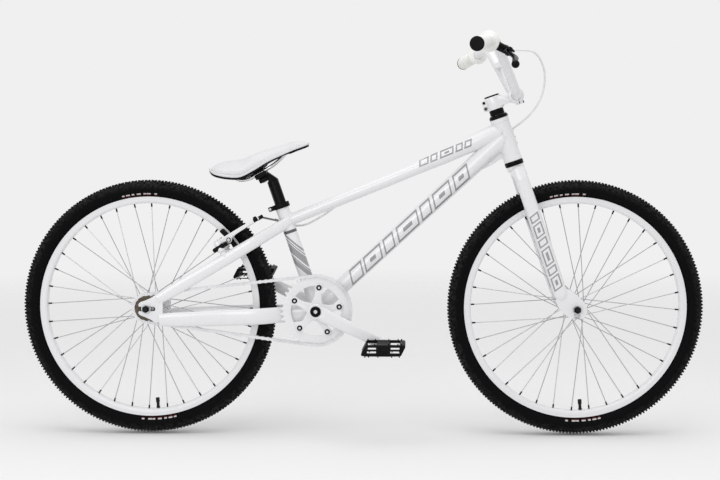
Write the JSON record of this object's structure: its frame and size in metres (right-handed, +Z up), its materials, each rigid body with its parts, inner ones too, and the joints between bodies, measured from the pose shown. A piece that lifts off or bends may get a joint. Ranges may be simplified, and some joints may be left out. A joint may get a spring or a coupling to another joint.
{
  "type": "bmx bicycle",
  "caption": "BMX race cruiser bicycle: low frame, wide cleated tyres, tall bars with a crossbar, single-speed chain drive, rear rim brake, padded saddle and platform pedals.",
  "frame": {"origin": "on the ground, halfway between the two axles, in the bicycle's middle plane", "axes": "+X forward, +Y to the rider's left, +Z up; the side with the chain faces -Y"},
  "size_m": [1.593, 0.734, 0.9235],
  "materials": {
    "white_paint": "gloss white paint",
    "pale_grip": "pale grey moulded rubber",
    "black_metal": "black anodised metal",
    "black_plastic": "black moulded plastic and rubber",
    "tyre_rubber": "black tyre rubber with fine tread",
    "tube_rubber": "black butyl rubber",
    "silver": "polished silver alloy",
    "bright_steel": "bright plated steel",
    "pale_chain": "pale nickel plated chain",
    "saddle_vinyl": "white padded vinyl",
    "cable_sheath": "pale grey cable sheath"
  },
  "bodies": {
    "frame": {"frame": "white_paint", "seat_clamp": "black_metal", "seat_clamp_bolt": "bright_steel", "seat_post": "black_metal", "saddle_clamp": "black_metal", "saddle_clamp_bolt": "bright_steel", "saddle_rails": "bright_steel", "saddle_shell": "black_plastic", "saddle_cover": "saddle_vinyl", "headset_cup_upper": "black_metal", "headset_cup_lower": "black_metal", "bottom_bracket_cup_right": "black_metal", "bottom_bracket_cup_left": "black_metal", "chain": "pale_chain", "rear_axle": "bright_steel", "rear_axle_nut_right": "black_metal", "rear_axle_nut_left": "black_metal", "brake_cable_rear": "cable_sheath"},
    "steering": {"fork": "white_paint", "stem": "white_paint", "stem_faceplate": "white_paint", "stem_top_cap": "black_metal", "headset_spacer": "black_metal", "handlebar": "white_paint", "grip_right": "pale_grip", "grip_left": "pale_grip", "bar_end_plug_right": "black_plastic", "bar_end_plug_left": "black_plastic", "brake_lever_bracket": "black_metal", "front_axle": "bright_steel", "front_axle_nut_right": "black_metal", "front_axle_nut_left": "black_metal", "brake_cable_front": "cable_sheath"},
    "lever": {"brake_lever": "black_metal"},
    "front_wheel": {"front_tyre": "tyre_rubber", "front_rim": "white_paint", "front_inner_tube": "tube_rubber", "front_hub": "silver", "front_spokes_right": "bright_steel", "front_spokes_left": "bright_steel"},
    "rear_wheel": {"rear_tyre": "tyre_rubber", "rear_rim": "white_paint", "rear_inner_tube": "tube_rubber", "rear_hub": "silver", "rear_spokes_right": "bright_steel", "rear_spokes_left": "bright_steel"},
    "freewheel": {"freewheel": "black_metal"},
    "crankset": {"crank_spindle": "black_metal", "crank_arm_right": "white_paint", "crank_arm_left": "white_paint", "chainring": "white_paint", "pedal_axle_right": "bright_steel", "pedal_axle_left": "bright_steel"},
    "pedal_right": {"pedal_right": "black_plastic"},
    "pedal_left": {"pedal_left": "black_plastic"},
    "brake_right": {"brake_arm_right": "white_paint", "brake_pad_right": "black_plastic"},
    "brake_left": {"brake_arm_left": "white_paint", "brake_pad_left": "black_plastic", "brake_noodle": "black_metal"}
  },
  "joints": [
    {"name": "steering_turn", "type": "hinge", "parent": "frame", "child": "steering", "pos_m": [0.35313, 0, 0.64032], "axis": [-0.3256, 0, 0.9455], "range_deg": [-80, 80], "deforming": ["brake_cable_front"]},
    {"name": "front_wheel_spin", "type": "hinge", "parent": "steering", "child": "front_wheel", "pos_m": [0.4985, 0, 0.298], "axis": [0, 1, 0], "continuous": true},
    {"name": "rear_wheel_spin", "type": "hinge", "parent": "frame", "child": "rear_wheel", "pos_m": [-0.4985, 0, 0.298], "axis": [0, 1, 0], "continuous": true},
    {"name": "crank_spin", "type": "hinge", "parent": "frame", "child": "crankset", "pos_m": [-0.10503, 0, 0.293], "axis": [0, 1, 0], "continuous": true, "deforming": ["chain"]},
    {"name": "freewheel_spin", "type": "hinge", "parent": "frame", "child": "freewheel", "pos_m": [-0.4985, 0, 0.298], "axis": [0, 1, 0], "continuous": true},
    {"name": "pedal_right_spin", "type": "hinge", "parent": "crankset", "child": "pedal_right", "pos_m": [0.05292, -0.0683, 0.21766], "axis": [0, 1, 0], "continuous": true},
    {"name": "pedal_left_spin", "type": "hinge", "parent": "crankset", "child": "pedal_left", "pos_m": [-0.26298, 0.0683, 0.36834], "axis": [0, 1, 0], "continuous": true},
    {"name": "lever_squeeze", "type": "hinge", "parent": "steering", "child": "lever", "pos_m": [0.32626, -0.2087, 0.88009], "axis": [-0.4885, 0.2129, -0.8462], "range_deg": [0, 25], "stiffness_Nm_per_rad": 0.5, "springref_deg": -20.05},
    {"name": "brake_right_close", "type": "hinge", "parent": "frame", "child": "brake_right", "pos_m": [-0.33474, -0.0425, 0.45077], "axis": [-0.5111, 0, 0.8595], "range_deg": [0, 4.5]},
    {"name": "brake_left_close", "type": "hinge", "parent": "frame", "child": "brake_left", "pos_m": [-0.33474, 0.0425, 0.45077], "axis": [-0.5111, 0, 0.8595], "range_deg": [-4.5, 0], "deforming": ["brake_cable_rear"]}
  ],
  "couplings": [
    {"joint": "freewheel_spin", "follows": "crank_spin", "ratio": 2.5},
    {"joint": "brake_right_close", "follows": "lever_squeeze", "ratio": 0.18},
    {"joint": "brake_left_close", "follows": "lever_squeeze", "ratio": -0.18}
  ]
}
